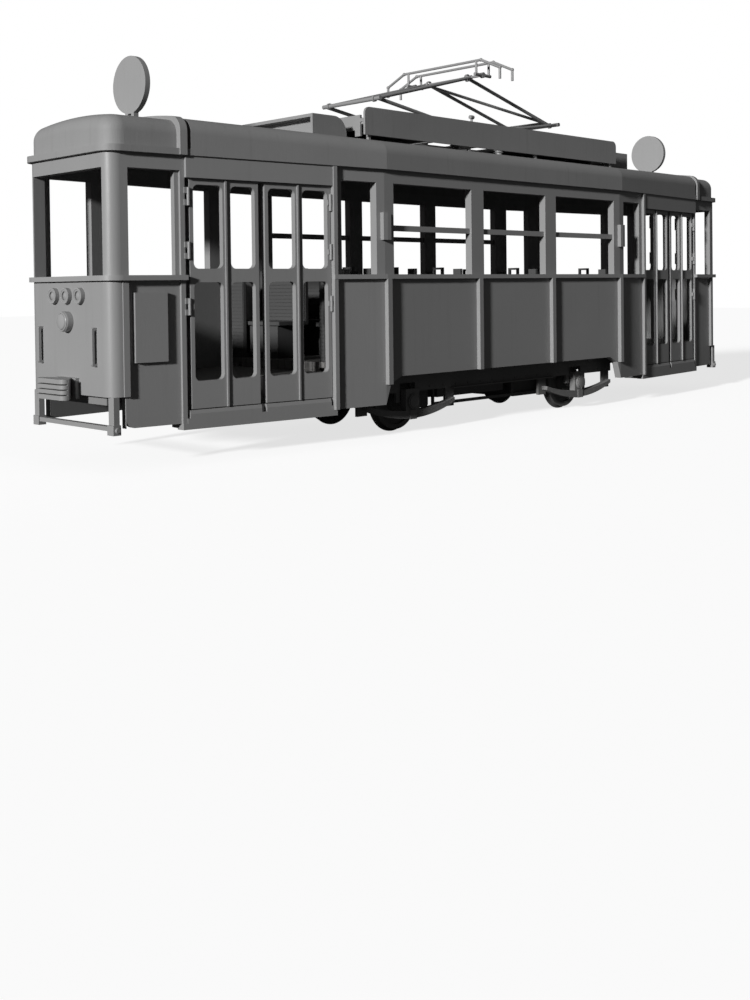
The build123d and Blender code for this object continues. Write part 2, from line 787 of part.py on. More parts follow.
export_step(floor.part, "parts/floor.step")

# Underframe: sole bars, cross beams, platform bearers and headstocks
with BuildPart() as underframe:
    for side in (-1, 1):
        with BuildSketch(Plane.XY.offset(truck_top)):
            with Locations((0, side * (truck_y + sole_bar_width / 2))):
                Rectangle(2 * saloon_half_length, sole_bar_width)
            with Locations((side * cross_beam_x, 0)):
                Rectangle(sole_bar_width, 2 * truck_y)
        extrude(amount=saloon_floor_bottom - truck_top)
        with BuildSketch(Plane.XY.offset(bearer_bottom)):
            with Locations((side * bolster_x, 0)):
                Rectangle(sole_bar_width, 2 * truck_y)
        extrude(amount=saloon_floor_bottom - bearer_bottom)
        with BuildSketch(Plane.XY.offset(bearer_bottom)):
            bearer_x = side * (bolster_x + end_x - wall) / 2
            with Locations((bearer_x, bearer_y), (bearer_x, -bearer_y)):
                Rectangle(end_x - wall - bolster_x, sole_bar_width)
            with Locations((side * (end_x - wall - headstock_width / 2), 0)):
                Rectangle(headstock_width, 2 * headstock_half_length)
        extrude(amount=platform_floor_bottom - bearer_bottom)
underframe.part.label = "underframe"
export_step(underframe.part, "parts/underframe.step")

# Truck frame: two side plates with horn guides, joined by cross beams
with BuildPart() as truck_frame:
    with BuildSketch(Plane.XZ):
        with Locations((0, (truck_bottom + truck_top) / 2)):
            Rectangle(2 * truck_end_x + sole_bar_width, truck_top - truck_bottom)
        with Locations((-axle_x, truck_bottom), (axle_x, truck_bottom)):
            Rectangle(horn_gap + 2 * horn_width, 2 * horn_drop, align=(Align.CENTER, Align.CENTER))
        with Locations((-axle_x, 0), (axle_x, 0)):
            Rectangle(horn_gap, horn_top, align=(Align.CENTER, Align.MIN), mode=Mode.SUBTRACT)
        for side in (-1, 1):
            for reach in (-spring_half_length, spring_half_length):
                with Locations((side * axle_x + reach, (hanger_bottom + truck_bottom) / 2)):
                    Rectangle(hanger_width, truck_bottom - hanger_bottom + truck_plate)
    extrude(amount=truck_y + truck_plate, both=True)
    with BuildSketch(Plane.XZ):
        Rectangle(3 * truck_end_x, 3 * truck_end_x)
    extrude(amount=truck_y, both=True, mode=Mode.SUBTRACT)
    for x in (-truck_end_x, -cross_beam_x, cross_beam_x, truck_end_x):
        with BuildSketch(Plane.XY.offset(truck_bottom)):
            with Locations((x, 0)):
                Rectangle(sole_bar_width, 2 * truck_y)
        extrude(amount=truck_top - truck_bottom)
    for side in (-1, 1):
        with BuildSketch(Plane.XY.offset(brake_rod_bottom)):
            with Locations(((brake_rod_end_x - cross_beam_x) / 2, side * brake_rod_y)):
                Rectangle(brake_rod_end_x + cross_beam_x, brake_rod_width)
        extrude(amount=brake_rod_height)
        with BuildSketch(Plane.XY.offset(brake_rod_bottom)):
            with Locations((-cross_beam_x, side * brake_rod_y), (cross_beam_x, side * brake_rod_y)):
                Rectangle(brake_rod_width, brake_rod_width)
        extrude(amount=truck_bottom - brake_rod_bottom)
truck_frame.part.label = "truck_frame"
export_step(truck_frame.part, "parts/truck_frame.step")

# Leaf springs with their axleboxes
box_names = ((-1, -1, "axlebox_front_door_side"), (-1, 1, "axlebox_front_blind_side"),
             (1, -1, "axlebox_rear_door_side"), (1, 1, "axlebox_rear_blind_side"))
for side_x, side_y, name in box_names:
    with BuildPart() as axlebox:
        with BuildSketch(Plane.XZ.offset(-side_y * (spring_y - spring_width / 2))):
            with BuildLine():
                ThreePointArc(
                    (side_x * axle_x - spring_half_length, hanger_bottom + spring_eye),
                    (side_x * axle_x, spring_bottom),
                    (side_x * axle_x + spring_half_length, hanger_bottom + spring_eye),
                )
                Line(
                    (side_x * axle_x + spring_half_length, hanger_bottom + spring_eye),
                    (side_x * axle_x + spring_half_length, hanger_bottom + 2 * spring_eye),
                )
                ThreePointArc(
                    (side_x * axle_x + spring_half_length, hanger_bottom + 2 * spring_eye),
                    (side_x * axle_x, spring_bottom + spring_pack),
                    (side_x * axle_x - spring_half_length, hanger_bottom + 2 * spring_eye),
                )
                Line(
                    (side_x * axle_x - spring_half_length, hanger_bottom + 2 * spring_eye),
                    (side_x * axle_x - spring_half_length, hanger_bottom + spring_eye),
                )
            make_face()
            with Locations((side_x * axle_x, spring_bottom + spring_pack / 2)):
                Rectangle(
                    axlebox_width, axlebox_top - spring_bottom - spring_pack / 2,
                    align=(Align.CENTER, Align.MIN),
                )
        extrude(amount=-side_y * spring_width)
        with BuildSketch(Plane.XZ.offset(-side_y * (spring_y + spring_width / 2))):
            with Locations((side_x * axle_x, axle_z)):
                Circle(axlebox_cap_radius)
        extrude(amount=-side_y * axlebox_cap_depth)
        with BuildSketch(Plane.XZ.offset(-side_y * (spring_y - spring_width / 2))):
            with Locations((side_x * axle_x, axle_z)):
                Circle(axle_radius * journal_share + bearing_gap)
        extrude(amount=-side_y * journal_length, mode=Mode.SUBTRACT)
    axlebox.part.label = name
    export_step(axlebox.part, "parts/%s.step" % name)

# Wheelsets, turned from one outline each
flange_y = wheel_back_y + flange_width
web_y = flange_y + web_thickness
tread_y = wheel_back_y + tread_width
rim_radius = tread_radius - rim_thickness
shoulder_y = truck_y - spring_end_gap
journal_y = spring_y - spring_width / 2 + journal_length - spring_end_gap
for side, name in ((-1, "wheelset_front"), (1, "wheelset_rear")):
    with BuildPart() as wheelset:
        with BuildSketch(Plane(origin=(side * axle_x, 0, axle_z), x_dir=(0, 1, 0), z_dir=(1, 0, 0))):
            with BuildLine():
                Polyline(
                    (0, 0), (0, axle_radius), (wheel_back_y - hub_reach, axle_radius),
                    (wheel_back_y - hub_reach, hub_radius), (flange_y, hub_radius), (flange_y, rim_radius),
                    (wheel_back_y, rim_radius), (wheel_back_y, flange_radius - flange_width / 2),
                    (wheel_back_y + flange_width / 3, flange_radius),
                    (wheel_back_y + flange_width * 2 / 3, flange_radius),
                    (flange_y, tread_radius + wheel_coning), (tread_y, tread_radius), (tread_y, rim_radius),
                    (web_y, rim_radius), (web_y, hub_radius), (tread_y + hub_reach, hub_radius),
                    (tread_y + hub_reach, axle_radius), (shoulder_y, axle_radius),
                    (shoulder_y, axle_radius * journal_share), (journal_y, axle_radius * journal_share),
                    (journal_y, 0), close=True,
                )
            make_face()
            mirror(about=Plane.YZ)
        revolve(axis=Axis((side * axle_x, 0, axle_z), (0, 1, 0)))
    wheelset.part.label = name
    export_step(wheelset.part, "parts/%s.step" % name)

# Motors, hung beside each axle
motor_root_x = cross_beam_x + sole_bar_width / 2
motor_length = axle_x - axle_radius - motor_gap - motor_root_x
for side, name in ((-1, "motor_front"), (1, "motor_rear")):
    with BuildPart() as motor:
        with BuildSketch(Plane.XZ):
            with Locations((side * (motor_root_x + motor_length / 2), (motor_bottom + motor_top) / 2)):
                Rectangle(motor_length, motor_top - motor_bottom)
        extrude(amount=motor_half_width, both=True)
        fillet(motor.edges().filter_by(Axis.Y), motor_gap)
    motor.part.label = name
    export_step(motor.part, "parts/%s.step" % name)

# Headlamp, coupler and lifeguard of each end
with BuildPart() as headlamp:
    with BuildSketch(Plane.YZ.offset(-end_x)):
        with Locations((0, headlamp_z)):
            Circle(headlamp_radius)
    extrude(amount=-headlamp_depth)
    fillet(headlamp.edges().sort_by(Axis.X)[0], headlamp_depth / 4)
with BuildPart() as coupler:
    with BuildSketch(Plane.XY.offset(coupler_bottom)):
        Polygon(
            (-end_x, -coupler_plate_half_width), (-end_x, coupler_plate_half_width),
            (-coupler_root_x, coupler_plate_half_width), (-coupler_root_x, coupler_neck_half_width),
            (-coupler_shoulder_x, coupler_half_width), (-coupler_x, coupler_half_width),
            (-coupler_x, -coupler_half_width), (-coupler_shoulder_x, -coupler_half_width),
            (-coupler_root_x, -coupler_neck_half_width), (-coupler_root_x, -coupler_plate_half_width),
            align=None,
        )
        fillet(vertices().sort_by(Axis.X)[:2], coupler_corner)
    extrude(amount=coupler_top - coupler_bottom)
    pitch = (coupler_top - coupler_bottom) / 4
    with BuildSketch(Plane.YZ.offset(-coupler_x)):
        with Locations(*[(0, coupler_bottom + pitch * step) for step in (1, 2, 3)]):
            Rectangle(2 * coupler_half_width + coupler_slot, coupler_slot)
    extrude(amount=coupler_slot_depth, mode=Mode.SUBTRACT)
    with BuildSketch(Plane.XY.offset(coupler_bottom)):
        with Locations((-coupler_shoulder_x + coupler_slot, 0)):
            Circle(coupler_pin_radius)
    extrude(amount=coupler_top - coupler_bottom, mode=Mode.SUBTRACT)
with BuildPart() as lifeguard:
    with BuildSketch(Plane.YZ.offset(-lifeguard_x - lifeguard_depth / 2)):
        for side in (-1, 1):
            with Locations((side * lifeguard_y, panel_bottom)):
                Rectangle(lifeguard_width, panel_bottom - lifeguard_bottom, align=(Align.CENTER, Align.MAX))
        with Locations((0, guard_bar_z)):
            Rectangle(2 * lifeguard_y, guard_bar)
    extrude(amount=lifeguard_depth)
for piece, name in ((headlamp, "headlamp"), (coupler, "coupler"), (lifeguard, "lifeguard")):
    piece.part.label = name + "_front"
    export_step(piece.part, "parts/%s_front.step" % name)
    with BuildPart() as twin:
        mirror(piece.part, about=Plane.YZ)
    twin.part.label = name + "_rear"
    export_step(twin.part, "parts/%s_rear.step" % name)

# Round sign plates on the roof, blank on both faces
with BuildPart() as roof_sign:
    with BuildSketch(Plane.YZ.offset(-disc_x)):
        with Locations((0, disc_z)):
            Circle(disc_radius)
        for side in (-1, 1):
            with Locations((side * disc_leg_y, disc_z)):
                Rectangle(disc_leg_width, disc_z - crown_z + roof_thickness, align=(Align.CENTER, Align.MAX))
    extrude(amount=disc_thickness / 2, both=True)
    add(inner_roof, mode=Mode.SUBTRACT)
    add([end_dome.part, main_roof.part], mode=Mode.SUBTRACT)
roof_sign.part.label = "roof_sign_front"
export_step(roof_sign.part, "parts/roof_sign_front.step")
with BuildPart() as roof_sign_rear:
    mirror(roof_sign.part, about=Plane.YZ)
roof_sign_rear.part.label = "roof_sign_rear"
export_step(roof_sign_rear.part, "parts/roof_sign_rear.step")

# Air hoods across the roof, open towards the ends of the car
with BuildPart() as air_hood:
    with BuildSketch(Plane.XZ):
        Polygon(
            (-hood_outer_x, wall_top), (-hood_outer_x, hood_top), (-hood_inner_x, hood_top),
            (-hood_inner_x, wall_top), align=None,
        )
        curve = vertices().group_by(Axis.Y)[-1].sort_by(Axis.X)[-1]
        fillet(curve, hood_curve_radius)
    extrude(amount=hood_half_width, both=True)
    with BuildSketch(Plane.YZ.offset(-hood_outer_x)):
        with Locations((0, hood_top - hood_lip)):
            Rectangle(
                2 * hood_half_width - 2 * hood_lip, hood_lip * 2,
                align=(Align.CENTER, Align.MAX),
            )
    extrude(amount=hood_recess, mode=Mode.SUBTRACT)
    add([outer_main], mode=Mode.SUBTRACT)
air_hood.part.label = "air_hood_front"
export_step(air_hood.part, "parts/air_hood_front.step")
with BuildPart() as air_hood_rear:
    mirror(air_hood.part, about=Plane.YZ)
air_hood_rear.part.label = "air_hood_rear"
export_step(air_hood_rear.part, "parts/air_hood_rear.step")

# Long boards along the roof on stanchions, joined by end boards and walkways
with BuildPart() as roof_boards:
    for side in (-1, 1):
        with BuildSketch(Plane.XZ.offset(side * board_y)):
            with Locations((0, (board_bottom + board_top) / 2)):
                Rectangle(2 * board_half_length, board_top - board_bottom)
            fillet(vertices().group_by(Axis.Y)[-1], board_corner)
        extrude(amount=board_thickness / 2, both=True)
        stanchion_y = side * (board_y - board_thickness / 2 - stanchion_width / 2)
        with BuildSketch(Plane.XY.offset(wall_top)):
            with Locations(*[(x, stanchion_y) for x in stanchion_x]):
                Rectangle(stanchion_width, stanchion_width)
        extrude(amount=board_bottom + board_corner - wall_top)
        with BuildSketch(Plane.YZ.offset(side * end_board_x)):
            with Locations((0, (board_bottom + end_board_top) / 2)):
                Rectangle(2 * end_board_half_width, end_board_top - board_bottom)
            with Locations((-end_hole_y, board_bottom), (end_hole_y, board_bottom)):
                Rectangle(end_hole_width, 2 * (end_hole_top - board_bottom), mode=Mode.SUBTRACT)
            with Locations((0, strap_bottom)):
                Rectangle(2 * board_y, strap_height, align=(Align.CENTER, Align.MIN))
        extrude(amount=board_thickness / 2, both=True)
        with BuildSketch(Plane.XY.offset(deck_bottom)):
            with Locations((side * (end_board_x + stanchion_x[1]) / 2, 0)):
                Rectangle(end_board_x - stanchion_x[1], 2 * board_y)
        extrude(amount=deck_thickness)
        with BuildSketch(Plane.XY.offset(wall_top)):
            with Locations((side * deck_post_x, 0)):
                Rectangle(stanchion_width, stanchion_width)
        extrude(amount=deck_bottom + deck_thickness - wall_top)
    add(outer_main, mode=Mode.SUBTRACT)
roof_boards.part.label = "roof_boards"
export_step(roof_boards.part, "parts/roof_boards.step")

# Seats on a footing rail, with head blocks at the wall, grab loops at the gangway and end partitions
seat_sides = ((-1, single_seat_y, single_seat_width, "seats_door_side", "seat_backs_door_side"),
              (1, double_seat_y, double_seat_width, "seats_blind_side", "seat_backs_blind_side"))
for side, seat_y, seat_width, name, backs_name in seat_sides:
    with BuildPart() as seats:
        partition_x = saloon_half_length - partition_setback
        with BuildSketch(Plane.XY.offset(saloon_floor_top)):
            with Locations((0, -side * single_seat_y)):
                Rectangle(2 * partition_x, seat_rail_width)
        extrude(amount=seat_rail_width / 2)
        partition_y = side * (wall_y(partition_x, wall + seat_wall_gap) - partition_width / 2)
        with BuildSketch(Plane.XY.offset(saloon_floor_top)):
            with Locations((-partition_x, partition_y), (partition_x, partition_y)):
                Rectangle(seat_back_thickness, partition_width)
        extrude(amount=partition_top - saloon_floor_top)
        for x in [share * saloon_half_length for share in seat_row_shares]:
            with BuildSketch(Plane.XY.offset(saloon_floor_top)):
                with Locations((x - seat_depth / 2, seat_y)):
                    Rectangle(seat_depth * seat_box_share, seat_width * seat_box_share)
            extrude(amount=seat_top - saloon_floor_top)
            with BuildSketch(Plane.XY.offset(seat_top)):
                with Locations((x - seat_depth / 2, seat_y)):
                    Rectangle(seat_depth, seat_width)
            extrude(amount=seat_thickness)
        with BuildSketch(Plane.XY):
            Polygon(*body_plan(wall + seat_wall_gap), align=None)
        extrude(amount=crown_z, mode=Mode.INTERSECT)
    seats.part.label = name
    export_step(seats.part, "parts/%s.step" % name)
    with BuildPart() as seat_backs:
        for x in [share * saloon_half_length for share in seat_row_shares]:
            with BuildSketch(Plane.YZ.offset(x)):
                with Locations((seat_y, seat_top)):
                    Rectangle(seat_width, seat_back_top - seat_top, align=(Align.CENTER, Align.MIN))
                with Locations((seat_y + side * (seat_width - head_block_width) / 2, seat_back_top)):
                    Rectangle(head_block_width, head_block_height, align=(Align.CENTER, Align.MIN))
                loop_y = seat_y - side * (seat_width - grab_loop_width) / 2
                hole_width = grab_loop_width - 2 * grab_bar
                with Locations((loop_y, seat_back_top + grab_loop_height / 2)):
                    Rectangle(grab_loop_width, grab_loop_height)
                    Rectangle(hole_width, grab_loop_height - 2 * grab_bar, mode=Mode.SUBTRACT)
            extrude(amount=seat_back_thickness / 2, both=True)
        with BuildSketch(Plane.XY):
            Polygon(*body_plan(wall + seat_wall_gap), align=None)
        extrude(amount=crown_z, mode=Mode.INTERSECT)
        add(seats.part, mode=Mode.SUBTRACT)
    seat_backs.part.label = backs_name
    export_step(seat_backs.part, "parts/%s.step" % backs_name)


def rod(start, end, radius):
    """A round bar between two points."""
    with BuildPart() as bar:
        with BuildSketch(Plane(origin=start, z_dir=Vector(*end) - Vector(*start))):
            Circle(radius)
        extrude(amount=(Vector(*end) - Vector(*start)).length)
    return bar.part


def cross_rod(x, z, half_width, radius):
    """A round bar across the car."""
    return rod((x, -half_width, z), (x, half_width, z), radius)


# Pantograph base: insulators, a frame, bearing plates and the latch posts
with BuildPart() as pantograph_base:
    for x in (-base_half_length + base_bar / 2, base_half_length - base_bar / 2):
        for y in (-base_half_width + base_bar / 2, base_half_width - base_bar / 2):
            add(rod((x, y, wall_top), (x, y, base_bottom), insulator_radius))
    with BuildSketch(Plane.XY.offset(base_bottom)):
        Rectangle(2 * base_half_length, 2 * base_half_width)
        Rectangle(2 * base_half_length - 2 * base_bar, 2 * base_half_width - 2 * base_bar, mode=Mode.SUBTRACT)
    extrude(amount=base_bar)
    for side in (-1, 1):
        plate_height = base_pivot_z + base_bar - base_bottom
        with BuildSketch(Plane.XZ.offset(side * (base_half_width - bearing_plate / 2))):
            with Locations((0, base_bottom)):
                Rectangle(2 * bearing_half_length, plate_height, align=(Align.CENTER, Align.MIN))
            with Locations((-base_pivot_x, base_pivot_z), (base_pivot_x, base_pivot_z)):
                Circle(stub_radius + eye_gap, mode=Mode.SUBTRACT)
        extrude(amount=bearing_plate / 2, both=True)
        with BuildSketch(Plane.XY.offset(base_bottom)):
            with Locations((-latch_x, side * latch_y)):
                Rectangle(base_bar / 2, 2 * (latch_y - base_half_width))
        extrude(amount=base_bar)
        add(rod((-latch_x, side * latch_y, base_bottom), (-latch_x, side * latch_y, latch_z), stub_radius))
        hook_front = (-latch_x - base_bar / 2, side * latch_y, latch_z)
        hook_rear = (-latch_x + base_bar / 2, side * latch_y, latch_z)
        add(rod(hook_front, hook_rear, tube_radius))
    add(outer_main, mode=Mode.SUBTRACT)
pantograph_base.part.label = "pantograph_base"
export_step(pantograph_base.part, "parts/pantograph_base.step")

# Lower frame: base tube with stub ends, two arms and the knee tube
with BuildPart() as lower_frame:
    add(cross_rod(-base_pivot_x, base_pivot_z, base_half_width - 2 * bearing_plate, base_tube_radius))
    add(cross_rod(-base_pivot_x, base_pivot_z, base_half_width, stub_radius))
    add(cross_rod(-knee_x, knee_z, knee_half_width, tube_radius))
    for side in (-1, 1):
        arm_foot = (-base_pivot_x, side * lower_arm_y, base_pivot_z)
        add(rod(arm_foot, (-knee_x, side * lower_arm_y, knee_z), tube_radius * arm_share))
lower_frame.part.label = "pantograph_lower_front"
export_step(lower_frame.part, "parts/pantograph_lower_front.step")
with BuildPart() as lower_frame_rear:
    mirror(lower_frame.part, about=Plane.YZ)
lower_frame_rear.part.label = "pantograph_lower_rear"
export_step(lower_frame_rear.part, "parts/pantograph_lower_rear.step")

# Upper frames: two arms with eyes at both ends, a brace and a diagonal
upper_frames = ((-1, front_arm_y, eye_gap, "front"), (1, rear_arm_y, open_eye_gap, "rear"))
for side, arm_y, apex_gap, name in upper_frames:
    with BuildPart() as upper_frame:
        for side_y in (-1, 1):
            y_low = side_y * arm_y - eye_width / 2
            y_high = side_y * arm_y + eye_width / 2
            arm_knee = (side * knee_x, side_y * arm_y, knee_z)
            add(rod(arm_knee, (0, side_y * arm_y, apex_z), tube_radius * arm_share))
            add(rod((side * knee_x, y_low, knee_z), (side * knee_x, y_high, knee_z), eye_radius))
            add(rod((0, y_low, apex_z), (0, y_high, apex_z), apex_radius + apex_gap + eye_wall))
        for far_share in (brace_low_share, brace_high_share):
            near_x = side * knee_x * (1 - brace_low_share)
            near_z = knee_z + (apex_z - knee_z) * brace_low_share
            far_x = side * knee_x * (1 - far_share)
            far_z = knee_z + (apex_z - knee_z) * far_share
            add(rod((near_x, -arm_y, near_z), (far_x, arm_y, far_z), tube_radius * brace_share))
        add(cross_rod(side * knee_x, knee_z, knee_half_width, tube_radius + eye_gap), mode=Mode.SUBTRACT)
        add(cross_rod(0, apex_z, knee_half_width, apex_radius + apex_gap), mode=Mode.SUBTRACT)
    upper_frame.part.label = "pantograph_upper_" + name
    export_step(upper_frame.part, "parts/pantograph_upper_%s.step" % name)

# Head: apex shaft, end brackets, posts and two collector bows with turned-down horns
with BuildPart() as pantograph_head:
    add(cross_rod(0, apex_z, head_post_y, apex_radius))
    for side in (-1, 1):
        post_y = side * head_post_y
        half_collar = collar_width / 2
        add(rod((0, post_y - half_collar, apex_z), (0, post_y + half_collar, apex_z), collar_radius))
        bracket_x = bow_x + 2 * head_post_radius
        add(rod((-bracket_x, post_y, apex_z), (bracket_x, post_y, apex_z), bracket_radius))
        for x in (-bow_x, bow_x):
            add(rod((x, post_y, apex_z), (x, post_y, bow_z), head_post_radius))
            flat_y = side * bow_flat_half_width
            end_y = side * bow_end_half_width
            add(rod((x, flat_y, bow_z), (x, end_y, bow_end_z), bow_radius))
            add(rod((x, end_y, bow_end_z), (x, end_y, bow_tip_z), bow_radius))
            with Locations((x, flat_y, bow_z), (x, end_y, bow_end_z)):
                Sphere(horn_radius)
    for x in (-bow_x, bow_x):
        add(rod((x, -bow_flat_half_width, bow_z), (x, bow_flat_half_width, bow_z), bow_radius))
pantograph_head.part.label = "pantograph_head"
export_step(pantograph_head.part, "parts/pantograph_head.step")
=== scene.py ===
import bpy
import bmesh
import json
import math
from mathutils import Matrix, Vector


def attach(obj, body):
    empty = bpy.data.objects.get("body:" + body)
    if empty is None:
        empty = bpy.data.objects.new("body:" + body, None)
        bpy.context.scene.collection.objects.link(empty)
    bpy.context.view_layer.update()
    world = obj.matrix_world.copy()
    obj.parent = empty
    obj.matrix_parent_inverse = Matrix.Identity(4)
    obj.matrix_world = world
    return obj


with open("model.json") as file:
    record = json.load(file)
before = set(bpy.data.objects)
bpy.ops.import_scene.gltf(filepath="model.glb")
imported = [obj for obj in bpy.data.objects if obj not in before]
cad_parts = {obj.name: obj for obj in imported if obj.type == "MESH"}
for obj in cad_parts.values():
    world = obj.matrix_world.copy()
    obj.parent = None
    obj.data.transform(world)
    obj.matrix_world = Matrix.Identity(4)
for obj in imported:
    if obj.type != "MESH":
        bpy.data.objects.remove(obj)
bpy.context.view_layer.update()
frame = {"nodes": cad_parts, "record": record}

nodes = frame["nodes"]
print("frame loaded:", len(nodes), "nodes")

# camera, matched to the picture
cameraSettings = {
    "place": (-11.0988, -9.6100, 1.6429),
    "yaw": 45.697,        # degrees from +X towards +Y
    "pitch": -1.077,
    "roll": 0.695,
    "lens": 41.49,
    "shift": (0.0218, -0.1909),
    "sensor": 36,
    "farClip": 200,
}


def addCamera(settings):
    yaw, pitch, roll = (math.radians(settings[k]) for k in ("yaw", "pitch", "roll"))
    ahead = Vector((math.cos(yaw) * math.cos(pitch), math.sin(yaw) * math.cos(pitch), math.sin(pitch)))
    right = Vector((math.sin(yaw), -math.cos(yaw), 0))
    down = ahead.cross(right)
    across = right * math.cos(roll) + down * math.sin(roll)
    below = down * math.cos(roll) - right * math.sin(roll)
    data = bpy.data.cameras.new("pictureCamera")
    data.sensor_fit = "AUTO"
    data.sensor_width = settings["sensor"]
    data.lens = settings["lens"]
    data.shift_x, data.shift_y = settings["shift"]
    data.clip_end = settings["farClip"]
    camera = bpy.data.objects.new("pictureCamera", data)
    bpy.context.collection.objects.link(camera)
    turn = Matrix((across, -below, -ahead)).transposed().to_4x4()
    camera.matrix_world = Matrix.Translation(settings["place"]) @ turn
    bpy.context.scene.camera = camera


addCamera(cameraSettings)
print("camera placed")


# node helpers
def newTree(name, kind, inputs, outputs):
    tree = bpy.data.node_groups.new(name, kind)
    for label, socketType, value in inputs:
        socket = tree.interface.new_socket(label, in_out="INPUT", socket_type=socketType)
        if value is not None:
            socket.default_value = value
    for label, socketType in outputs:
        tree.interface.new_socket(label, in_out="OUTPUT", socket_type=socketType)
    start = tree.nodes.new("NodeGroupInput")
    end = tree.nodes.new("NodeGroupOutput")
    return tree, start, end


def mathNode(tree, operation, first, second=None, third=None, clamp=False):
    node = tree.nodes.new("ShaderNodeMath")
    node.operation = operation
    node.use_clamp = clamp
    for index, value in enumerate((first, second, third)):
        if value is None:
            continue
        if isinstance(value, (int, float)):
            node.inputs[index].default_value = value
        else:
            tree.links.new(value, node.inputs[index])
    return node.outputs[0]


def noiseNode(tree, vector, scale, detail, roughness):
    node = tree.nodes.new("ShaderNodeTexNoise")
    node.inputs["Scale"].default_value = scale
    node.inputs["Detail"].default_value = detail
    node.inputs["Roughness"].default_value = roughness
    tree.links.new(vector, node.inputs["Vector"])
    return node.outputs["Fac"]


def mappedVector(tree, vector, scale):
    node = tree.nodes.new("ShaderNodeMapping")
    node.inputs["Scale"].default_value = scale
    tree.links.new(vector, node.inputs["Vector"])
    return node.outputs["Vector"]


def rampNode(tree, value, low, high):
    node = tree.nodes.new("ShaderNodeMapRange")
    node.interpolation_type = "SMOOTHSTEP"
    node.inputs["From Min"].default_value = low
    node.inputs["From Max"].default_value = high
    tree.links.new(value, node.inputs["Value"])
    return node.outputs["Result"]


def mixColour(tree, factor, first, second):
    node = tree.nodes.new("ShaderNodeMix")
    node.data_type = "RGBA"
    for socket, value in ((node.inputs["Factor"], factor), (node.inputs[6], first), (node.inputs[7], second)):
        if isinstance(value, (int, float, tuple)):
            socket.default_value = value
        else:
            tree.links.new(value, socket)
    return node.outputs[2]


# noise of the old paint: stretch, scale, detail and roughness, the first None where it isn't stretched
paintNoise = {
    "cloud": (None, 1.3, 5, 0.55),
    "streak": ((14, 14, 0.7), 1.0, 4, 0.6),
    "brush": ((60, 60, 9), 1.0, 3, 0.5),
    "speck": (None, 160, 3, 0.7),
}
paintLevels = {
    "dustZ": (1.1, 0.3),    # no dust above the first height, all of it below the second
    "patchRange": (0.25, 0.75), "streakRange": (0.52, 0.78),
    "speckTone": 0.10, "dirtRough": 0.5, "brushRough": 0.12, "brushHeight": 0.4, "speckHeight": 0.25,
}
boardNoise = ((5, 60, 60), 1.0, 5, 0.65)
boardLevels = {"jointRange": (0.44, 0.49), "grainTone": 0.5, "grainRough": 0.3, "baseRough": 0.5}


def patternNoise(tree, place, values):
    stretch, scale, detail, roughness = values
    vector = mappedVector(tree, place, stretch) if stretch else place
    return noiseNode(tree, vector, scale, detail, roughness)


def aroundZero(tree, value, factor):
    return mathNode(tree, "MULTIPLY", mathNode(tree, "SUBTRACT", value, 0.5), factor)


# old paint: slow fading, rain streaks, dust low down and fine brush marks
def buildPaintGroup(levels):
    tree, start, end = newTree("oldPaint", "ShaderNodeTree", [
        ("Paint", "NodeSocketColor", (0.24, 0.24, 0.24, 1)),
        ("Dirt", "NodeSocketColor", (0.13, 0.125, 0.12, 1)),
        ("Fading", "NodeSocketFloat", 0.1),
        ("Streaks", "NodeSocketFloat", 0.12),
        ("Dust", "NodeSocketFloat", 0.25),
        ("Gloss", "NodeSocketFloat", 0.45),
    ], [("Colour", "NodeSocketColor"), ("Roughness", "NodeSocketFloat"), ("Height", "NodeSocketFloat")])
    place = tree.nodes.new("ShaderNodeTexCoord").outputs["Object"]
    split = tree.nodes.new("ShaderNodeSeparateXYZ")
    tree.links.new(place, split.inputs[0])
    cloud, streak, brush, speck = [patternNoise(tree, place, values) for values in paintNoise.values()]
    low = rampNode(tree, split.outputs["Z"], *levels["dustZ"])
    fade = aroundZero(tree, cloud, start.outputs["Fading"])
    fine = aroundZero(tree, speck, levels["speckTone"])
    value = mathNode(tree, "ADD", mathNode(tree, "ADD", fade, 1.0), fine)
    tint = tree.nodes.new("ShaderNodeHueSaturation")
    tree.links.new(value, tint.inputs["Value"])
    tree.links.new(start.outputs["Paint"], tint.inputs["Color"])
    lines = rampNode(tree, streak, *levels["streakRange"])
    streakMask = mathNode(tree, "MULTIPLY", lines, start.outputs["Streaks"])
    patches = mathNode(tree, "MULTIPLY", low, rampNode(tree, cloud, *levels["patchRange"]))
    dustMask = mathNode(tree, "MULTIPLY", patches, start.outputs["Dust"])
    dirt = mathNode(tree, "ADD", streakMask, dustMask, clamp=True)
    colour = mixColour(tree, dirt, tint.outputs["Color"], start.outputs["Dirt"])
    dull = mathNode(tree, "MULTIPLY", dirt, levels["dirtRough"])
    rough = mathNode(tree, "ADD", start.outputs["Gloss"], dull, clamp=True)
    rough = mathNode(tree, "ADD", rough, aroundZero(tree, brush, levels["brushRough"]), clamp=True)
    ridges = mathNode(tree, "MULTIPLY", brush, levels["brushHeight"])
    height = mathNode(tree, "ADD", ridges, mathNode(tree, "MULTIPLY", speck, levels["speckHeight"]))
    tree.links.new(colour, end.inputs["Colour"])
    tree.links.new(rough, end.inputs["Roughness"])
    tree.links.new(height, end.inputs["Height"])
    return tree


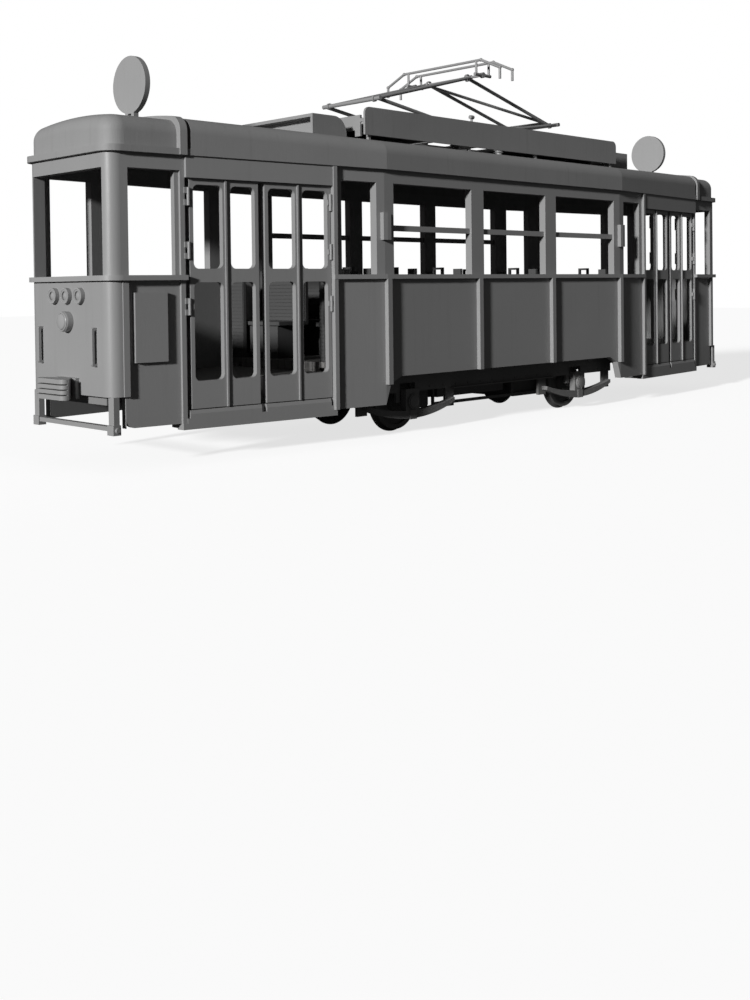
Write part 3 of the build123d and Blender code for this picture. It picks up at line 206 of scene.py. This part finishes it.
# boards side by side across the car: a dark line between them and grain along them
def buildBoardGroup(levels):
    tree, start, end = newTree("boardGrain", "ShaderNodeTree", [
        ("Wood", "NodeSocketColor", (0.24, 0.235, 0.23, 1)),
        ("Joint", "NodeSocketColor", (0.05, 0.05, 0.05, 1)),
        ("Boards", "NodeSocketFloat", 10.0),
    ], [("Colour", "NodeSocketColor"), ("Roughness", "NodeSocketFloat"), ("Height", "NodeSocketFloat")])
    place = tree.nodes.new("ShaderNodeTexCoord").outputs["Object"]
    split = tree.nodes.new("ShaderNodeSeparateXYZ")
    tree.links.new(place, split.inputs[0])
    across = mathNode(tree, "MULTIPLY", split.outputs["Y"], start.outputs["Boards"])
    edge = mathNode(tree, "ABSOLUTE", mathNode(tree, "SUBTRACT", mathNode(tree, "FRACT", across), 0.5))
    joint = rampNode(tree, edge, *levels["jointRange"])
    grain = patternNoise(tree, place, boardNoise)
    shade = mathNode(tree, "ADD", aroundZero(tree, grain, levels["grainTone"]), 1.0)
    tint = tree.nodes.new("ShaderNodeHueSaturation")
    tree.links.new(shade, tint.inputs["Value"])
    tree.links.new(start.outputs["Wood"], tint.inputs["Color"])
    colour = mixColour(tree, joint, tint.outputs["Color"], start.outputs["Joint"])
    fibre = mathNode(tree, "MULTIPLY", grain, levels["grainRough"])
    tree.links.new(colour, end.inputs["Colour"])
    tree.links.new(mathNode(tree, "ADD", fibre, levels["baseRough"]), end.inputs["Roughness"])
    tree.links.new(mathNode(tree, "SUBTRACT", fibre, joint), end.inputs["Height"])
    return tree


paintGroup = buildPaintGroup(paintLevels)
boardGroup = buildBoardGroup(boardLevels)

finishColumns = ("paint", "dirt", "fading", "streaks", "dust", "gloss", "bump")
finishRows = {
    "bodyPaint": (0.245, 0.13, 0.10, 0.10, 0.16, 0.42, 0.0012),
    "doorPaint": (0.250, 0.13, 0.08, 0.08, 0.16, 0.40, 0.0010),
    "trimPaint": (0.265, 0.14, 0.08, 0.06, 0.10, 0.38, 0.0008),
    "roofPaint": (0.235, 0.12, 0.18, 0.18, 0.05, 0.60, 0.0022),
    "signPaint": (0.270, 0.15, 0.08, 0.14, 0.05, 0.38, 0.0008),
    "mastPaint": (0.240, 0.12, 0.12, 0.05, 0.05, 0.36, 0.0006),
    "gearPaint": (0.200, 0.12, 0.22, 0.10, 0.45, 0.62, 0.0030),
    "bufferPaint": (0.250, 0.12, 0.12, 0.08, 0.20, 0.48, 0.0014),
    "lampPaint": (0.270, 0.15, 0.05, 0.05, 0.05, 0.25, 0.0004),
}
finishes = {name: dict(zip(finishColumns, row)) for name, row in finishRows.items()}
paintSpecular = 0.35
dirtTint = (1, 0.97, 0.93)
boardFinishes = {
    "floorBoards": {"wood": 0.17, "boards": 9.0, "bump": 0.004},    # boards to the metre
    # the seat finish is near-black all over: painted shade on the seats, not the wood's own colour
    "seatPaintedShade": {"wood": 0.24, "boards": 0.0, "bump": 0.002},    # 0 boards: the joints' dark tone all over
}
woodTint = (1, 0.98, 0.95)


def groupMaterial(name, pattern, inputs, depth):
    material = bpy.data.materials.new(name)
    material.use_nodes = True
    tree = material.node_tree
    shader = tree.nodes["Principled BSDF"]
    group = tree.nodes.new("ShaderNodeGroup")
    group.node_tree = pattern
    for label, value in inputs.items():
        group.inputs[label].default_value = value
    bump = tree.nodes.new("ShaderNodeBump")
    bump.inputs["Distance"].default_value = depth
    tree.links.new(group.outputs["Colour"], shader.inputs["Base Color"])
    tree.links.new(group.outputs["Roughness"], shader.inputs["Roughness"])
    tree.links.new(group.outputs["Height"], bump.inputs["Height"])
    tree.links.new(bump.outputs["Normal"], shader.inputs["Normal"])
    return material


def tinted(tone, tint):
    return (*(tone * share for share in tint), 1)


def paintMaterial(name, values):
    inputs = {"Paint": tinted(values["paint"], (1, 1, 1)), "Dirt": tinted(values["dirt"], dirtTint)}
    inputs.update({key.capitalize(): values[key] for key in ("fading", "streaks", "dust", "gloss")})
    material = groupMaterial(name, paintGroup, inputs, values["bump"])
    shader = material.node_tree.nodes["Principled BSDF"]
    shader.inputs["Specular IOR Level"].default_value = paintSpecular
    return material


def boardMaterial(name, values):
    inputs = {"Wood": tinted(values["wood"], woodTint), "Boards": values["boards"]}
    return groupMaterial(name, boardGroup, inputs, values["bump"])


materials = {name: paintMaterial(name, values) for name, values in finishes.items()}
materials.update({name: boardMaterial(name, values) for name, values in boardFinishes.items()})

slotFinish = {
    "body_paint": "bodyPaint",
    "door_paint": "doorPaint",
    "trim_paint": "trimPaint",
    "roof_paint": "roofPaint",
    "sign_paint": "signPaint",
    "pantograph_paint": "mastPaint",
    "running_gear": "gearPaint",
    "buffing_gear": "bufferPaint",
    "lamp_glass": "lampPaint",
    # the seat pieces take the near-black seat finish, which is painted shade
    "seat_wood": "seatPaintedShade",
    "floor_boards": "floorBoards",
}
for entry in frame["record"]["subparts"]:
    mesh = nodes[entry["node"]].data
    finish = materials[slotFinish[entry["material_slot"]]]
    if mesh.materials:
        for index in range(len(mesh.materials)):
            mesh.materials[index] = finish
    else:
        mesh.materials.append(finish)
print("materials set")


# shape helpers
def addBox(shape, low, high):
    corners = [(x, y, z) for x in (low[0], high[0]) for y in (low[1], high[1]) for z in (low[2], high[2])]
    points = [shape.verts.new(c) for c in corners]
    for face in ((0, 1, 3, 2), (4, 6, 7, 5), (0, 4, 5, 1), (2, 3, 7, 6), (0, 2, 6, 4), (1, 5, 7, 3)):
        shape.faces.new([points[k] for k in face])


def addLathe(shape, centre, axis, profile, sides=32):    # pairs of radius and height round an axis
    turn = Vector(axis).to_track_quat("Z", "Y")
    rings = []
    for radius, height in profile:
        if radius == 0:
            rings.append([shape.verts.new(Vector(centre) + turn @ Vector((0, 0, height)))])
            continue
        angles = [2 * math.pi * k / sides for k in range(sides)]
        points = [Vector((radius * math.cos(a), radius * math.sin(a), height)) for a in angles]
        rings.append([shape.verts.new(Vector(centre) + turn @ point) for point in points])
    for lower, upper in zip(rings, rings[1:]):
        for k in range(sides):
            n = (k + 1) % sides
            corners = [lower[k % len(lower)], lower[n % len(lower)]]
            corners += [upper[n % len(upper)], upper[k % len(upper)]]
            shape.faces.new(list(dict.fromkeys(corners)))


def joinRings(shape, low, high):    # rings of four points
    for a, b in ((0, 1), (1, 3), (3, 2), (2, 0)):
        shape.faces.new((low[a], low[b], high[b], high[a]))


def closeRing(shape, ring):
    shape.faces.new([ring[k] for k in (0, 1, 3, 2)])


weldDistance = 0.00001


def finishPiece(shape, name, finish, body="carbody", smooth=35):
    bmesh.ops.remove_doubles(shape, verts=shape.verts, dist=weldDistance)
    bmesh.ops.recalc_face_normals(shape, faces=shape.faces)
    mesh = bpy.data.meshes.new(name)
    shape.to_mesh(mesh)
    shape.free()
    mesh.polygons.foreach_set("use_smooth", [True] * len(mesh.polygons))
    mesh.set_sharp_from_angle(angle=math.radians(smooth))
    mesh.materials.append(materials[finish])
    piece = bpy.data.objects.new(name, mesh)
    bpy.context.collection.objects.link(piece)
    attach(piece, body)


# one tree for every repeated row: boxes stacked upwards on each point of a mesh
def buildRowTree():
    tree, start, end = newTree("slatRows", "GeometryNodeTree", [
        ("Geometry", "NodeSocketGeometry", None),
        ("Slats", "NodeSocketInt", 10),
        ("Pitch", "NodeSocketFloat", 0.04),
        ("Slat Size", "NodeSocketVector", (0.01, 1.0, 0.03)),
        ("Wood", "NodeSocketMaterial", None),
    ], [("Geometry", "NodeSocketGeometry")])
    block = tree.nodes.new("GeometryNodeMeshCube")
    tree.links.new(start.outputs["Slat Size"], block.inputs["Size"])
    line = tree.nodes.new("GeometryNodeMeshLine")
    tree.links.new(start.outputs["Slats"], line.inputs["Count"])
    step = tree.nodes.new("ShaderNodeCombineXYZ")
    tree.links.new(start.outputs["Pitch"], step.inputs["Z"])
    tree.links.new(step.outputs[0], line.inputs["Offset"])
    stack = tree.nodes.new("GeometryNodeInstanceOnPoints")
    tree.links.new(line.outputs["Mesh"], stack.inputs["Points"])
    tree.links.new(block.outputs["Mesh"], stack.inputs["Instance"])
    rows = tree.nodes.new("GeometryNodeInstanceOnPoints")
    tree.links.new(start.outputs["Geometry"], rows.inputs["Points"])
    tree.links.new(stack.outputs["Instances"], rows.inputs["Instance"])
    width = tree.nodes.new("GeometryNodeInputNamedAttribute")
    width.data_type = "FLOAT"
    width.inputs["Name"].default_value = "rowWidth"
    spread = tree.nodes.new("ShaderNodeCombineXYZ")
    spread.inputs["X"].default_value = 1
    spread.inputs["Z"].default_value = 1
    tree.links.new(width.outputs["Attribute"], spread.inputs["Y"])
    tree.links.new(spread.outputs[0], rows.inputs["Scale"])
    real = tree.nodes.new("GeometryNodeRealizeInstances")
    tree.links.new(rows.outputs["Instances"], real.inputs["Geometry"])
    paint = tree.nodes.new("GeometryNodeSetMaterial")
    tree.links.new(real.outputs["Geometry"], paint.inputs["Geometry"])
    tree.links.new(start.outputs["Wood"], paint.inputs["Material"])
    tree.links.new(paint.outputs["Geometry"], end.inputs["Geometry"])
    return tree


rowTree = buildRowTree()


def addRows(name, points, widths, settings, finish):
    base = bpy.data.meshes.new(name + "Base")
    base.from_pydata(points, [], [])
    attribute = base.attributes.new("rowWidth", "FLOAT", "POINT")
    attribute.data.foreach_set("value", widths)
    carrier = bpy.data.objects.new(name + "Base", base)
    bpy.context.collection.objects.link(carrier)
    modifier = carrier.modifiers.new("rows", "NODES")
    modifier.node_group = rowTree
    sockets = {item.name: item.identifier for item in rowTree.interface.items_tree if item.in_out == "INPUT"}
    modifier[sockets["Slats"]] = settings["slats"]
    modifier[sockets["Pitch"]] = settings["pitch"]
    modifier[sockets["Slat Size"]] = (settings["thickness"], 1.0, settings["height"])
    modifier[sockets["Wood"]] = materials[finish]
    graph = bpy.context.evaluated_depsgraph_get()
    mesh = bpy.data.meshes.new_from_object(carrier.evaluated_get(graph), depsgraph=graph)
    mesh.name = name
    bpy.data.objects.remove(carrier)
    piece = bpy.data.objects.new(name, mesh)
    bpy.context.collection.objects.link(piece)
    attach(piece, "carbody")


# seats: slats on the backs and the end partitions, drawn in the near-black seat finish, which is painted
# shade
seatValues = {
    "rows": (-2.351, -1.650, -0.875, 0.563, 2.102),
    "backHalf": 0.018,
    "single": (-0.720, 0.40),    # middle and width
    "double": (0.500, 0.77),
    "backFoot": 1.292,
    "slatOffset": 0.005,
    "back": {"slats": 11, "pitch": 0.0405, "thickness": 0.010, "height": 0.033},
    "partitionX": 2.820,
    "partitionY": 0.764,
    "partitionFoot": 0.885,
    "partitionWidth": 0.24,
    "partition": {"slats": 22, "pitch": 0.040, "thickness": 0.010, "height": 0.033},
}


def addSeatSlats(values):
    reach = values["backHalf"] + values["slatOffset"]
    points, widths = [], []
    for x in values["rows"]:
        for middle, width in (values["single"], values["double"]):
            for side in (-1, 1):
                points.append((x + side * reach, middle, values["backFoot"]))
                widths.append(width)
    # seat and partition slats get the near-black seat finish, which is painted shade
    addRows("seatSlats", points, widths, values["back"], "seatPaintedShade")
    points, widths = [], []
    for x in (-values["partitionX"], values["partitionX"]):
        for y in (-values["partitionY"], values["partitionY"]):
            for side in (-1, 1):
                points.append((x + side * reach, y, values["partitionFoot"]))
                widths.append(values["partitionWidth"])
    addRows("partitionSlats", points, widths, values["partition"], "seatPaintedShade")


addSeatSlats(seatValues)
print("seats dressed")

# lamp glasses and their rims at both ends
lampValues = {
    "faceX": 5.460, "markerY": (-0.229, 0.0, 0.229), "markerZ": 1.596, "headZ": 1.356, "headReach": 0.070,
    "markerLens": ((0.040, 0.0205), (0.036, 0.030), (0.024, 0.037), (0.010, 0.041), (0, 0.042)),
    "markerRim": ((0.058, 0.039), (0.060, 0.044), (0.067, 0.046), (0.074, 0.044), (0.076, 0.039),
                  (0.058, 0.039)),
    "headLens": ((0.074, -0.001), (0.076, 0.005), (0.070, 0.014), (0.050, 0.021), (0.025, 0.025), (0, 0.026)),
    "headRim": ((0.076, -0.004), (0.078, 0.006), (0.084, 0.008), (0.090, 0.004), (0.092, -0.006),
                (0.076, -0.004)),
}


def addLamps(values):
    shape = bmesh.new()
    for side in (-1, 1):
        out = (side, 0, 0)
        for y in values["markerY"]:
            centre = (side * values["faceX"], y, values["markerZ"])
            addLathe(shape, centre, out, values["markerLens"])
            addLathe(shape, centre, out, values["markerRim"])
        centre = (side * (values["faceX"] + values["headReach"]), 0, values["headZ"])
        addLathe(shape, centre, out, values["headLens"])
        addLathe(shape, centre, out, values["headRim"])
    finishPiece(shape, "lampGlasses", "lampPaint")


addLamps(lampValues)

# lifeguard shoes with the round ends of the bar
shoeValues = {
    "x": (5.362, 5.442), "y": 0.666, "halfWidth": 0.052, "z": (0.333, 0.425),
    "barX": 5.400, "barRadius": 0.027, "sides": 20,
    "capFoot": 0.001, "capSide": 0.014, "capEnd": 0.019, "capChamfer": 0.005,
}


def addShoes(values):
    shape = bmesh.new()
    for end in (-1, 1):
        low, high = sorted((end * values["x"][0], end * values["x"][1]))
        for side in (-1, 1):
            y = side * values["y"]
            half = values["halfWidth"]
            addBox(shape, (low, y - half, values["z"][0]), (high, y + half, values["z"][1]))
            middle = (end * values["barX"], y + side * half, sum(values["z"]) / 2)
            radius, foot, top = values["barRadius"], values["capFoot"], values["capEnd"]
            rimPoint = (radius, values["capSide"])
            cap = ((0, foot), (radius, foot), rimPoint, (radius - values["capChamfer"], top), (0, top))
            addLathe(shape, middle, (0, side, 0), cap, values["sides"])
    finishPiece(shape, "guardShoes", "bufferPaint")


addShoes(shoeValues)

# leaf springs, buckles and axlebox lids
springValues = {
    "axleX": 1.619, "axleZ": 0.360, "faceY": 0.835, "halfLength": 0.716, "leaves": 6, "steps": 20,
    "bottom": (0.308, 0.168),    # height at the ends and in the middle
    "top": (0.354, 0.256),
    "leafReach": 0.004, "leafGap": 0.0015,
    "buckleHalf": 0.055, "buckleY": (-0.085, 0.012), "buckleZ": (0.160, 0.266),
    "lidReach": 0.026, "lid": ((0, 0), (0.070, 0), (0.070, 0.008), (0.052, 0.012), (0, 0.014)),
    "bolts": 6, "firstBolt": 30, "boltCircle": 0.077, "boltSides": 6,
    "bolt": ((0, 0), (0.008, 0), (0.008, 0.007), (0, 0.007)),
}


def arcHeight(ends, share):
    return ends[1] + (ends[0] - ends[1]) * share * share


def addSprings(values):
    shape = bmesh.new()
    for sideX in (-1, 1):
        for sideY in (-1, 1):
            face = values["faceY"]
            for leaf in range(values["leaves"]):
                for step in range(values["steps"]):
                    pair = []
                    for k in (step, step + 1):
                        share = 2 * k / values["steps"] - 1
                        low, high = arcHeight(values["bottom"], share), arcHeight(values["top"], share)
                        pitch = (high - low) / values["leaves"]
                        z = low + pitch * leaf
                        x = sideX * values["axleX"] + share * values["halfLength"]
                        gap = values["leafGap"]
                        depths, heights = (face, face + values["leafReach"]), (z + gap, z + pitch - gap)
                        pair.append([(x, sideY * y, h) for y in depths for h in heights])
                    if step == 0:
                        last = [shape.verts.new(c) for c in pair[0]]
                        closeRing(shape, last)
                    here = [shape.verts.new(c) for c in pair[1]]
                    joinRings(shape, last, here)
                    last = here
                closeRing(shape, last)
            x = sideX * values["axleX"]
            low, high = sorted(sideY * (face + reach) for reach in values["buckleY"])
            half, (foot, top) = values["buckleHalf"], values["buckleZ"]
            addBox(shape, (x - half, low, foot), (x + half, high, top))
            cap = (x, sideY * (face + values["lidReach"]), values["axleZ"])
            addLathe(shape, cap, (0, sideY, 0), values["lid"])
            for k in range(values["bolts"]):
                angle = math.radians(360 / values["bolts"] * k + values["firstBolt"])
                circle = values["boltCircle"]
                bolt = (cap[0] + circle * math.cos(angle), cap[1], cap[2] + circle * math.sin(angle))
                addLathe(shape, bolt, (0, sideY, 0), values["bolt"], values["boltSides"])
    finishPiece(shape, "springLeaves", "gearPaint")


addSprings(springValues)

# truck side flanges, with rivet heads along them
flangeValues = {
    "x": (-0.870, 1.120), "y": (0.755, 0.802), "z": (0.452, 0.466),
    "rivets": 22, "rivetX": (-2.38, 2.38), "rivetZ": (0.500, 0.630), "rivetSides": 12,
    "rivet": ((0.011, 0), (0.009, 0.005), (0.004, 0.008), (0, 0.008)),
    "axleX": 1.619, "axleClear": 0.2,
}


def addFlanges(values):
    shape = bmesh.new()
    for side in (-1, 1):
        low, high = sorted((side * values["y"][0], side * values["y"][1]))
        addBox(shape, (values["x"][0], low, values["z"][0]), (values["x"][1], high, values["z"][1]))
        first, last = values["rivetX"]
        for k in range(values["rivets"]):
            x = first + (last - first) * k / (values["rivets"] - 1)
            if abs(abs(x) - values["axleX"]) < values["axleClear"]:
                continue
            for z in values["rivetZ"]:
                place = (x, side * values["y"][0], z)
                addLathe(shape, place, (0, side, 0), values["rivet"], values["rivetSides"])
    finishPiece(shape, "truckFlanges", "gearPaint")


addFlanges(flangeValues)

# ribbed skirts of the pantograph insulators
insulatorValues = {
    "x": 0.420, "y": 0.470, "heights": (3.318, 3.346, 3.374), "sides": 28,
    "skirt": ((0.044, 0), (0.064, 0.002), (0.064, 0.007), (0.044, 0.017), (0.044, 0)),
}


def addInsulators(values):
    shape = bmesh.new()
    for x in (-values["x"], values["x"]):
        for y in (-values["y"], values["y"]):
            for z in values["heights"]:
                addLathe(shape, (x, y, z), (0, 0, 1), values["skirt"], values["sides"])
    finishPiece(shape, "insulatorSkirts", "mastPaint")


addInsulators(insulatorValues)

# raised headers over the doors and stop strips behind the gap at the front leaf
wallValues = {"halfWidth": 1.050, "straight": 2.261, "slope": 338 / 3199}    # taper from "straight" on
doorTrimValues = {
    "header": {"x": (2.968, 4.680), "out": (0.0, 0.028), "z": (2.690, 2.895)},
    "stop": {"x": (4.606, 4.680), "out": (-0.090, -0.076), "z": (0.505, 2.690)},
}


def wallPoint(x, out):
    values = wallValues
    lean = math.hypot(1, values["slope"])
    return values["halfWidth"] - (x - values["straight"]) * values["slope"] + out * lean


def addDoorTrim(trim):
    shape = bmesh.new()
    for end in (-1, 1):
        for values in trim.values():
            corners = [(x, out) for x in values["x"] for out in values["out"]]
            plan = [(end * x, -wallPoint(x, out)) for x, out in corners]
            low, high = [[shape.verts.new((x, y, z)) for x, y in plan] for z in values["z"]]
            joinRings(shape, low, high)
            closeRing(shape, low)
            closeRing(shape, high)
    finishPiece(shape, "doorTrim", "bodyPaint")


addDoorTrim(doorTrimValues)

# closed equipment box that hangs between the motors
equipmentValues = {
    "half": (0.640, 0.330), "z": (0.300, 0.740), "floor": 0.800,
    "lidRim": 0.008, "lidHeight": 0.030, "bearerY": 0.300, "bearerHalf": 0.030,
}


def addEquipmentBox(values):
    shape = bmesh.new()
    halfX, halfY = values["half"]
    low, high = values["z"]
    seam = high - values["lidHeight"]
    rim, bearer = values["lidRim"], values["bearerHalf"]
    addBox(shape, (-halfX, -halfY, low), (halfX, halfY, seam))
    addBox(shape, (-halfX - rim, -halfY - rim, seam), (halfX + rim, halfY + rim, high))
    for side in (-1, 1):
        y = side * values["bearerY"]
        addBox(shape, (-halfX, y - bearer, high), (halfX, y + bearer, values["floor"]))
    finishPiece(shape, "equipmentBox", "gearPaint")


addEquipmentBox(equipmentValues)
print("details built")

# floor, world and lamps
stageSettings = {
    "floorSize": 120, "floorTone": 0.50, "bounceTone": 0.10, "floorGlow": 0.74, "floorRough": 0.9,
}


def addFloor(settings):
    half = settings["floorSize"] / 2
    mesh = bpy.data.meshes.new("studioFloor")
    corners = [(-half, -half, 0), (half, -half, 0), (half, half, 0), (-half, half, 0)]
    mesh.from_pydata(corners, [], [(0, 1, 2, 3)])
    floor = bpy.data.objects.new("studioFloor", mesh)
    bpy.context.collection.objects.link(floor)
    material = bpy.data.materials.new("studioFloor")
    material.use_nodes = True
    tree = material.node_tree
    shader = tree.nodes["Principled BSDF"]
    path = tree.nodes.new("ShaderNodeLightPath")
    seen = path.outputs["Is Camera Ray"]
    tone, bounce = settings["floorTone"], settings["bounceTone"]
    colour = mixColour(tree, seen, (bounce, bounce, bounce, 1), (tone, tone, tone, 1))
    tree.links.new(colour, shader.inputs["Base Color"])
    shader.inputs["Roughness"].default_value = settings["floorRough"]
    shader.inputs["Specular IOR Level"].default_value = 0
    shader.inputs["Emission Color"].default_value = (1, 1, 1, 1)
    glow = mathNode(tree, "MULTIPLY", seen, settings["floorGlow"])
    tree.links.new(glow, shader.inputs["Emission Strength"])
    mesh.materials.append(material)


addFloor(stageSettings)

lampSettings = {
    "key": {"heading": (0.90, 0.215, -0.25), "power": 4.34, "softness": 5},
    "worldTone": 0.07,
}


def addSun(name, settings):
    data = bpy.data.lights.new(name, "SUN")
    data.energy = settings["power"]
    data.angle = math.radians(settings["softness"])
    lamp = bpy.data.objects.new(name, data)
    lamp.rotation_euler = Vector(settings["heading"]).to_track_quat("-Z", "Y").to_euler()
    bpy.context.collection.objects.link(lamp)


addSun("keySun", lampSettings["key"])


def addWorld(tone):
    world = bpy.data.worlds.new("studioWorld")
    bpy.context.scene.world = world
    world.use_nodes = True
    tree = world.node_tree
    background = tree.nodes["Background"]
    path = tree.nodes.new("ShaderNodeLightPath")
    seen = mathNode(tree, "MAXIMUM", path.outputs["Is Camera Ray"], path.outputs["Is Transmission Ray"])
    strength = mathNode(tree, "MULTIPLY_ADD", seen, 1 - tone, tone)
    background.inputs["Color"].default_value = (1, 1, 1, 1)
    tree.links.new(strength, background.inputs["Strength"])


addWorld(lampSettings["worldTone"])
bpy.context.scene.view_settings.view_transform = "Standard"
print("studio lit")
